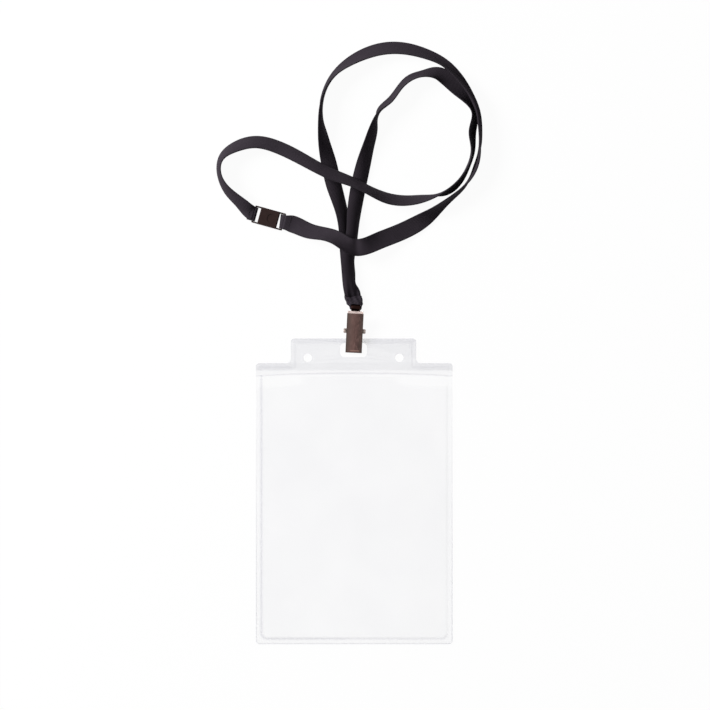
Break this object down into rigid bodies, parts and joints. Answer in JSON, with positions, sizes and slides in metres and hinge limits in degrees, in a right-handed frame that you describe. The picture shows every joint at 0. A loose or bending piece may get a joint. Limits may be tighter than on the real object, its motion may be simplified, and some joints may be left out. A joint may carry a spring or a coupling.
{
  "type": "id badge wallet",
  "caption": "Clear soft film wallet for a badge card, hung by a sprung toothed clip from a flat woven neck strap with a breakaway buckle.",
  "frame": {"origin": "middle of the wallet's rear face, halfway up its height with the tab", "axes": "+X across the wallet to the right, +Y up its length towards the clip, +Z out of its front, with the wallet lying on its back"},
  "size_m": [0.1522, 0.3458, 0.014],
  "materials": {
    "clear_film": "clear, glossy",
    "plated_steel": "dark nickel plate, worn",
    "spring_steel": "plain",
    "strap": "woven, matt",
    "buckle": "satin"
  },
  "bodies": {
    "wallet": {"rear_sheet": "clear_film", "pocket_sheet": "clear_film", "header_sheet": "clear_film", "clip_jaw": "plated_steel", "clip_pin": "plated_steel", "clip_spring": "spring_steel"},
    "lever": {"clip_lever": "plated_steel"},
    "lanyard": {"strap_bight": "strap", "strap_long": "strap", "strap_short": "strap", "strap_fold_socket": "strap", "buckle_socket": "buckle"},
    "plug": {"buckle_plug": "buckle", "strap_fold_plug": "strap"}
  },
  "joints": [
    {"name": "lever_hinge", "type": "hinge", "parent": "wallet", "child": "lever", "pos_m": [0.00021, 0.09209, 0.0029], "axis": [-0.9988, 0.0488, 0], "range_deg": [0, 24], "stiffness_Nm_per_rad": 0.06, "springref_deg": -34.38, "deforming": ["clip_spring"]},
    {"name": "lanyard_swing", "type": "hinge", "parent": "wallet", "child": "lanyard", "pos_m": [0.00087, 0.10547, 0.002], "axis": [0.9988, -0.0488, 0], "range_deg": [0, 90]},
    {"name": "buckle_release", "type": "slide", "parent": "lanyard", "child": "plug", "axis": [-0.9636, 0.2672, 0], "range_m": [0, 0.008], "deforming": ["strap_short"]}
  ]
}
